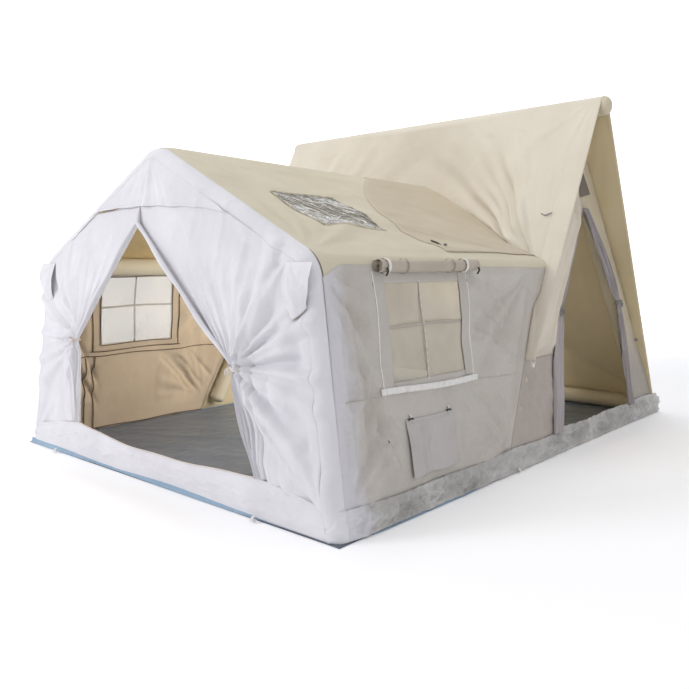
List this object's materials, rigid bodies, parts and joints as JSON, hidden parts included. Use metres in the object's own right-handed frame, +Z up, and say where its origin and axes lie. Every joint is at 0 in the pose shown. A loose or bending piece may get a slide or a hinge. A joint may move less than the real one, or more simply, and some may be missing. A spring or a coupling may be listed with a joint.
{
  "type": "inflatable tent",
  "caption": "Inflatable tent with a gabled cabin, a taller A-shaped tower behind it, tied-back front and side doors, net windows and an air-beam frame.",
  "frame": {"origin": "middle of the footprint, on the ground under the groundsheet", "axes": "+Z up; -Y out of the front gable; +X out of the wall whose side door is open"},
  "size_m": [3.67, 4.8086, 2.8563],
  "materials": {
    "front_canvas": "white-grey canvas, matt",
    "roof_canvas": "cream canvas, matt",
    "tower_canvas": "cream canvas, matt",
    "side_canvas": "sand canvas, matt",
    "skirt_fabric": "coated waterproof band, slight sheen",
    "floor_fabric": "blue-grey coated floor cloth",
    "sleeve_fabric": "cream canvas sleeve, matt",
    "bladder_film": "milky polyurethane film",
    "clear_film": "clear crinkled window film",
    "screen_net": "fine insect net",
    "cross_webbing": "grey webbing",
    "tie_webbing": "cream webbing",
    "valve_plastic": "black moulded plastic",
    "cap_plastic": "black moulded plastic",
    "pin_plastic": "white moulded plastic",
    "slider_metal": "grey cast slider"
  },
  "bodies": {
    "tent": {"front_brow": "front_canvas", "front_curtain_left": "front_canvas", "front_curtain_right": "front_canvas", "skirt_front": "front_canvas", "roof_left": "roof_canvas", "roof_right": "roof_canvas", "tower_slope_front": "tower_canvas", "tower_slope_back": "tower_canvas", "roof_overlap_left": "tower_canvas", "roof_overlap_right": "tower_canvas", "wall_left": "side_canvas", "wall_right": "side_canvas", "tower_gable_left": "side_canvas", "tower_gable_right": "side_canvas", "side_flap_front": "side_canvas", "side_flap_rear": "side_canvas", "blind_roll_left": "side_canvas", "blind_roll_right": "side_canvas", "skirt_left": "skirt_fabric", "skirt_right": "skirt_fabric", "skirt_rear": "skirt_fabric", "groundsheet": "floor_fabric", "front_arch_sleeve": "sleeve_fabric", "tower_arch_left_sleeve": "sleeve_fabric", "tower_arch_right_sleeve": "sleeve_fabric", "tower_ridge_beam_sleeve": "sleeve_fabric", "cabin_ridge_beam_sleeve": "sleeve_fabric", "eave_beam_left_sleeve": "sleeve_fabric", "eave_beam_right_sleeve": "sleeve_fabric", "rear_base_beam_sleeve": "sleeve_fabric", "front_arch_bladder": "bladder_film", "tower_arch_left_bladder": "bladder_film", "tower_arch_right_bladder": "bladder_film", "tower_ridge_beam_bladder": "bladder_film", "cabin_ridge_beam_bladder": "bladder_film", "eave_beam_left_bladder": "bladder_film", "eave_beam_right_bladder": "bladder_film", "rear_base_beam_bladder": "bladder_film", "skylight_film": "clear_film", "window_screen_left": "screen_net", "window_screen_right": "screen_net", "window_cross_left": "cross_webbing", "window_cross_right": "cross_webbing", "tie_back_left": "tie_webbing", "tie_back_right": "tie_webbing", "side_tie_back_front": "tie_webbing", "side_tie_back_rear": "tie_webbing", "valve_body_left": "valve_plastic", "valve_body_right": "valve_plastic"},
    "port_flap": {"port_flap": "front_canvas"},
    "zip_slider_front": {"zip_slider_front": "slider_metal"},
    "zip_slider_rear": {"zip_slider_rear": "slider_metal"},
    "valve_cover_left": {"valve_cover_left": "front_canvas"},
    "valve_cap_left": {"valve_cap_left": "cap_plastic"},
    "valve_pin_left": {"valve_pin_left": "pin_plastic"},
    "valve_cover_right": {"valve_cover_right": "front_canvas"},
    "valve_cap_right": {"valve_cap_right": "cap_plastic"},
    "valve_pin_right": {"valve_pin_right": "pin_plastic"}
  },
  "joints": [
    {"name": "port_flap_hinge", "type": "hinge", "parent": "tent", "child": "port_flap", "pos_m": [1.71258, -1.46, 0.57043], "axis": [-0.0197, -0.9998, 0.0001], "range_deg": [0, 150]},
    {"name": "zip_front_slide", "type": "slide", "parent": "tent", "child": "zip_slider_front", "axis": [0.1451, 0, -0.9894], "range_m": [0, 0.56]},
    {"name": "zip_rear_slide", "type": "slide", "parent": "tent", "child": "zip_slider_rear", "axis": [0.1136, 0, -0.9935], "range_m": [0, 0.56]},
    {"name": "valve_cover_left_hinge", "type": "hinge", "parent": "tent", "child": "valve_cover_left", "pos_m": [-1.445, -2.32278, 1.52], "axis": [-1, 0, 0], "range_deg": [0, 110]},
    {"name": "valve_cap_left_twist", "type": "hinge", "parent": "tent", "child": "valve_cap_left", "pos_m": [-1.45791, -2.32638, 1.36], "axis": [0, -0.9991, 0.0431], "range_deg": [0, 90]},
    {"name": "valve_pin_left_press", "type": "slide", "parent": "tent", "child": "valve_pin_left", "axis": [0, 0.9991, -0.0431], "range_m": [0, 0.004], "stiffness_N_per_m": 200, "springref_m": -0.004},
    {"name": "valve_cover_right_hinge", "type": "hinge", "parent": "tent", "child": "valve_cover_right", "pos_m": [1.445, -2.32278, 1.52], "axis": [-1, 0, 0], "range_deg": [0, 110]},
    {"name": "valve_cap_right_twist", "type": "hinge", "parent": "tent", "child": "valve_cap_right", "pos_m": [1.45791, -2.32638, 1.36], "axis": [0, -0.9991, 0.0431], "range_deg": [0, 90]},
    {"name": "valve_pin_right_press", "type": "slide", "parent": "tent", "child": "valve_pin_right", "axis": [0, 0.9991, -0.0431], "range_m": [0, 0.004], "stiffness_N_per_m": 200, "springref_m": -0.004}
  ]
}
